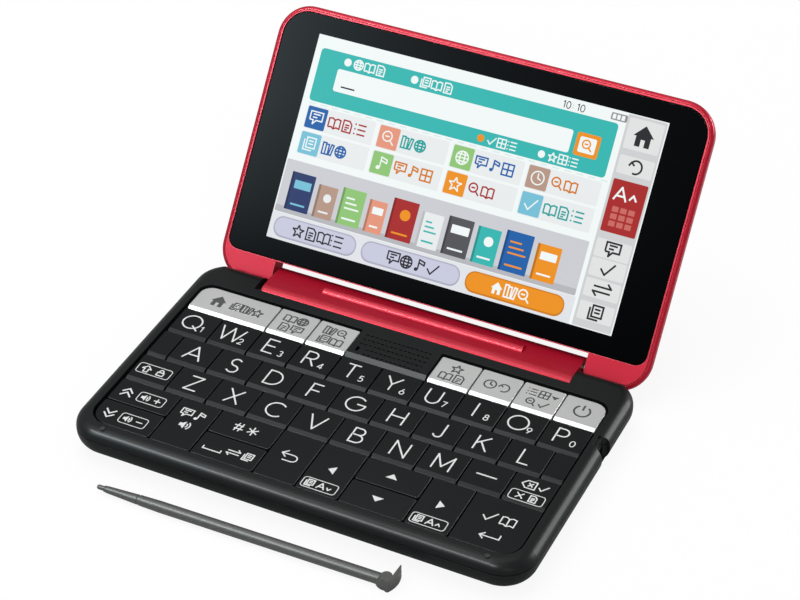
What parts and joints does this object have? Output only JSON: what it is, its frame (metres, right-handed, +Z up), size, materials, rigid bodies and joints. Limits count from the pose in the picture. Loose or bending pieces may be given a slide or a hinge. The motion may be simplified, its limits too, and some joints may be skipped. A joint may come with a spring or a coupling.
{
  "type": "electronic dictionary",
  "caption": "Handheld clamshell electronic dictionary: charcoal keyboard half, red screen half on a two-axis hinge link, and a touch pen lying in front.",
  "frame": {"origin": "on the table, in the middle of the footprint of the open object with its pen", "axes": "+X along the key rows to the right, +Y from the front edge to the hinge, +Z up"},
  "size_m": [0.1522, 0.165, 0.0785],
  "materials": {
    "charcoal_case": "fine matte texture",
    "black_key": "satin, fine grain",
    "silver_key": "silver paint, satin",
    "red_shell": "satin metallic paint",
    "red_shell_dark": "satin metallic paint",
    "rubber": "matte",
    "hinge_steel": "plain",
    "circuit_board": "solder mask",
    "battery_can": "plain can",
    "black_glass": "glossy, printed black behind, clear over the picture",
    "display_module": "lit white",
    "grey_pen": "satin"
  },
  "bodies": {
    "base": {"base_top_cover": "charcoal_case", "base_bottom_cover": "charcoal_case", "main_board": "circuit_board", "battery_pack": "battery_can", "rubber_feet": "rubber", "base_hinges_and_screws": "hinge_steel"},
    "link": {"hinge_link": "red_shell_dark"},
    "lid": {"lid_hinges": "hinge_steel", "lid_rear_cover": "red_shell", "lid_front_frame": "red_shell", "display_glass": "black_glass", "lcd_panel": "display_module"},
    "pen": {"pen": "grey_pen"},
    "key_home_body": {"key_home": "silver_key"},
    "key_book_a_body": {"key_book_a": "silver_key"},
    "key_book_b_body": {"key_book_b": "silver_key"},
    "key_book_c_body": {"key_book_c": "silver_key"},
    "key_recent_body": {"key_recent": "silver_key"},
    "key_list_body": {"key_list": "silver_key"},
    "key_power_body": {"key_power": "silver_key"},
    "key_q_body": {"key_q": "black_key"},
    "key_w_body": {"key_w": "black_key"},
    "key_e_body": {"key_e": "black_key"},
    "key_r_body": {"key_r": "black_key"},
    "key_t_body": {"key_t": "black_key"},
    "key_y_body": {"key_y": "black_key"},
    "key_u_body": {"key_u": "black_key"},
    "key_i_body": {"key_i": "black_key"},
    "key_o_body": {"key_o": "black_key"},
    "key_p_body": {"key_p": "black_key"},
    "key_a_body": {"key_a": "black_key"},
    "key_s_body": {"key_s": "black_key"},
    "key_d_body": {"key_d": "black_key"},
    "key_f_body": {"key_f": "black_key"},
    "key_g_body": {"key_g": "black_key"},
    "key_h_body": {"key_h": "black_key"},
    "key_j_body": {"key_j": "black_key"},
    "key_k_body": {"key_k": "black_key"},
    "key_l_body": {"key_l": "black_key"},
    "key_z_body": {"key_z": "black_key"},
    "key_x_body": {"key_x": "black_key"},
    "key_c_body": {"key_c": "black_key"},
    "key_v_body": {"key_v": "black_key"},
    "key_b_body": {"key_b": "black_key"},
    "key_n_body": {"key_n": "black_key"},
    "key_m_body": {"key_m": "black_key"},
    "key_shift_body": {"key_shift": "black_key"},
    "key_dash_body": {"key_dash": "black_key"},
    "key_delete_body": {"key_delete": "black_key"},
    "key_page_up_body": {"key_page_up": "black_key"},
    "key_page_down_body": {"key_page_down": "black_key"},
    "key_voice_body": {"key_voice": "black_key"},
    "key_symbol_body": {"key_symbol": "black_key"},
    "key_space_body": {"key_space": "black_key"},
    "key_back_body": {"key_back": "black_key"},
    "key_left_body": {"key_left": "black_key"},
    "key_up_body": {"key_up": "black_key"},
    "key_down_body": {"key_down": "black_key"},
    "key_right_body": {"key_right": "black_key"},
    "key_enter_body": {"key_enter": "black_key"}
  },
  "joints": [
    {"name": "link_on_base", "type": "hinge", "parent": "base", "child": "link", "pos_m": [0, 0.01848, 0.00585], "axis": [1, 0, 0], "range_deg": [-86.3, 83.9]},
    {"name": "lid_on_link", "type": "hinge", "parent": "link", "child": "lid", "pos_m": [0, 0.02796, 0.00605], "axis": [1, 0, 0], "range_deg": [-146.5, 43.1]},
    {"name": "pen_lift", "type": "slide", "parent": "base", "child": "pen", "axis": [0, 0, 1], "range_m": [0, 0.06]},
    {"name": "key_home_press", "type": "slide", "parent": "base", "child": "key_home_body", "axis": [0, 0, -1], "range_m": [0, 0.0006], "stiffness_N_per_m": 800},
    {"name": "key_book_a_press", "type": "slide", "parent": "base", "child": "key_book_a_body", "axis": [0, 0, -1], "range_m": [0, 0.0006], "stiffness_N_per_m": 800},
    {"name": "key_book_b_press", "type": "slide", "parent": "base", "child": "key_book_b_body", "axis": [0, 0, -1], "range_m": [0, 0.0006], "stiffness_N_per_m": 800},
    {"name": "key_book_c_press", "type": "slide", "parent": "base", "child": "key_book_c_body", "axis": [0, 0, -1], "range_m": [0, 0.0006], "stiffness_N_per_m": 800},
    {"name": "key_recent_press", "type": "slide", "parent": "base", "child": "key_recent_body", "axis": [0, 0, -1], "range_m": [0, 0.0006], "stiffness_N_per_m": 800},
    {"name": "key_list_press", "type": "slide", "parent": "base", "child": "key_list_body", "axis": [0, 0, -1], "range_m": [0, 0.0006], "stiffness_N_per_m": 800},
    {"name": "key_power_press", "type": "slide", "parent": "base", "child": "key_power_body", "axis": [0, 0, -1], "range_m": [0, 0.0006], "stiffness_N_per_m": 800},
    {"name": "key_q_press", "type": "slide", "parent": "base", "child": "key_q_body", "axis": [0, 0, -1], "range_m": [0, 0.0006], "stiffness_N_per_m": 800},
    {"name": "key_w_press", "type": "slide", "parent": "base", "child": "key_w_body", "axis": [0, 0, -1], "range_m": [0, 0.0006], "stiffness_N_per_m": 800},
    {"name": "key_e_press", "type": "slide", "parent": "base", "child": "key_e_body", "axis": [0, 0, -1], "range_m": [0, 0.0006], "stiffness_N_per_m": 800},
    {"name": "key_r_press", "type": "slide", "parent": "base", "child": "key_r_body", "axis": [0, 0, -1], "range_m": [0, 0.0006], "stiffness_N_per_m": 800},
    {"name": "key_t_press", "type": "slide", "parent": "base", "child": "key_t_body", "axis": [0, 0, -1], "range_m": [0, 0.0006], "stiffness_N_per_m": 800},
    {"name": "key_y_press", "type": "slide", "parent": "base", "child": "key_y_body", "axis": [0, 0, -1], "range_m": [0, 0.0006], "stiffness_N_per_m": 800},
    {"name": "key_u_press", "type": "slide", "parent": "base", "child": "key_u_body", "axis": [0, 0, -1], "range_m": [0, 0.0006], "stiffness_N_per_m": 800},
    {"name": "key_i_press", "type": "slide", "parent": "base", "child": "key_i_body", "axis": [0, 0, -1], "range_m": [0, 0.0006], "stiffness_N_per_m": 800},
    {"name": "key_o_press", "type": "slide", "parent": "base", "child": "key_o_body", "axis": [0, 0, -1], "range_m": [0, 0.0006], "stiffness_N_per_m": 800},
    {"name": "key_p_press", "type": "slide", "parent": "base", "child": "key_p_body", "axis": [0, 0, -1], "range_m": [0, 0.0006], "stiffness_N_per_m": 800},
    {"name": "key_a_press", "type": "slide", "parent": "base", "child": "key_a_body", "axis": [0, 0, -1], "range_m": [0, 0.0006], "stiffness_N_per_m": 800},
    {"name": "key_s_press", "type": "slide", "parent": "base", "child": "key_s_body", "axis": [0, 0, -1], "range_m": [0, 0.0006], "stiffness_N_per_m": 800},
    {"name": "key_d_press", "type": "slide", "parent": "base", "child": "key_d_body", "axis": [0, 0, -1], "range_m": [0, 0.0006], "stiffness_N_per_m": 800},
    {"name": "key_f_press", "type": "slide", "parent": "base", "child": "key_f_body", "axis": [0, 0, -1], "range_m": [0, 0.0006], "stiffness_N_per_m": 800},
    {"name": "key_g_press", "type": "slide", "parent": "base", "child": "key_g_body", "axis": [0, 0, -1], "range_m": [0, 0.0006], "stiffness_N_per_m": 800},
    {"name": "key_h_press", "type": "slide", "parent": "base", "child": "key_h_body", "axis": [0, 0, -1], "range_m": [0, 0.0006], "stiffness_N_per_m": 800},
    {"name": "key_j_press", "type": "slide", "parent": "base", "child": "key_j_body", "axis": [0, 0, -1], "range_m": [0, 0.0006], "stiffness_N_per_m": 800},
    {"name": "key_k_press", "type": "slide", "parent": "base", "child": "key_k_body", "axis": [0, 0, -1], "range_m": [0, 0.0006], "stiffness_N_per_m": 800},
    {"name": "key_l_press", "type": "slide", "parent": "base", "child": "key_l_body", "axis": [0, 0, -1], "range_m": [0, 0.0006], "stiffness_N_per_m": 800},
    {"name": "key_z_press", "type": "slide", "parent": "base", "child": "key_z_body", "axis": [0, 0, -1], "range_m": [0, 0.0006], "stiffness_N_per_m": 800},
    {"name": "key_x_press", "type": "slide", "parent": "base", "child": "key_x_body", "axis": [0, 0, -1], "range_m": [0, 0.0006], "stiffness_N_per_m": 800},
    {"name": "key_c_press", "type": "slide", "parent": "base", "child": "key_c_body", "axis": [0, 0, -1], "range_m": [0, 0.0006], "stiffness_N_per_m": 800},
    {"name": "key_v_press", "type": "slide", "parent": "base", "child": "key_v_body", "axis": [0, 0, -1], "range_m": [0, 0.0006], "stiffness_N_per_m": 800},
    {"name": "key_b_press", "type": "slide", "parent": "base", "child": "key_b_body", "axis": [0, 0, -1], "range_m": [0, 0.0006], "stiffness_N_per_m": 800},
    {"name": "key_n_press", "type": "slide", "parent": "base", "child": "key_n_body", "axis": [0, 0, -1], "range_m": [0, 0.0006], "stiffness_N_per_m": 800},
    {"name": "key_m_press", "type": "slide", "parent": "base", "child": "key_m_body", "axis": [0, 0, -1], "range_m": [0, 0.0006], "stiffness_N_per_m": 800},
    {"name": "key_shift_press", "type": "slide", "parent": "base", "child": "key_shift_body", "axis": [0, 0, -1], "range_m": [0, 0.0006], "stiffness_N_per_m": 800},
    {"name": "key_dash_press", "type": "slide", "parent": "base", "child": "key_dash_body", "axis": [0, 0, -1], "range_m": [0, 0.0006], "stiffness_N_per_m": 800},
    {"name": "key_delete_press", "type": "slide", "parent": "base", "child": "key_delete_body", "axis": [0, 0, -1], "range_m": [0, 0.0006], "stiffness_N_per_m": 800},
    {"name": "key_page_up_press", "type": "slide", "parent": "base", "child": "key_page_up_body", "axis": [0, 0, -1], "range_m": [0, 0.0006], "stiffness_N_per_m": 800},
    {"name": "key_page_down_press", "type": "slide", "parent": "base", "child": "key_page_down_body", "axis": [0, 0, -1], "range_m": [0, 0.0006], "stiffness_N_per_m": 800},
    {"name": "key_voice_press", "type": "slide", "parent": "base", "child": "key_voice_body", "axis": [0, 0, -1], "range_m": [0, 0.0006], "stiffness_N_per_m": 800},
    {"name": "key_symbol_press", "type": "slide", "parent": "base", "child": "key_symbol_body", "axis": [0, 0, -1], "range_m": [0, 0.0006], "stiffness_N_per_m": 800},
    {"name": "key_space_press", "type": "slide", "parent": "base", "child": "key_space_body", "axis": [0, 0, -1], "range_m": [0, 0.0006], "stiffness_N_per_m": 800},
    {"name": "key_back_press", "type": "slide", "parent": "base", "child": "key_back_body", "axis": [0, 0, -1], "range_m": [0, 0.0006], "stiffness_N_per_m": 800},
    {"name": "key_left_press", "type": "slide", "parent": "base", "child": "key_left_body", "axis": [0, 0, -1], "range_m": [0, 0.0006], "stiffness_N_per_m": 800},
    {"name": "key_up_press", "type": "slide", "parent": "base", "child": "key_up_body", "axis": [0, 0, -1], "range_m": [0, 0.0006], "stiffness_N_per_m": 800},
    {"name": "key_down_press", "type": "slide", "parent": "base", "child": "key_down_body", "axis": [0, 0, -1], "range_m": [0, 0.0006], "stiffness_N_per_m": 800},
    {"name": "key_right_press", "type": "slide", "parent": "base", "child": "key_right_body", "axis": [0, 0, -1], "range_m": [0, 0.0006], "stiffness_N_per_m": 800},
    {"name": "key_enter_press", "type": "slide", "parent": "base", "child": "key_enter_body", "axis": [0, 0, -1], "range_m": [0, 0.0006], "stiffness_N_per_m": 800}
  ]
}
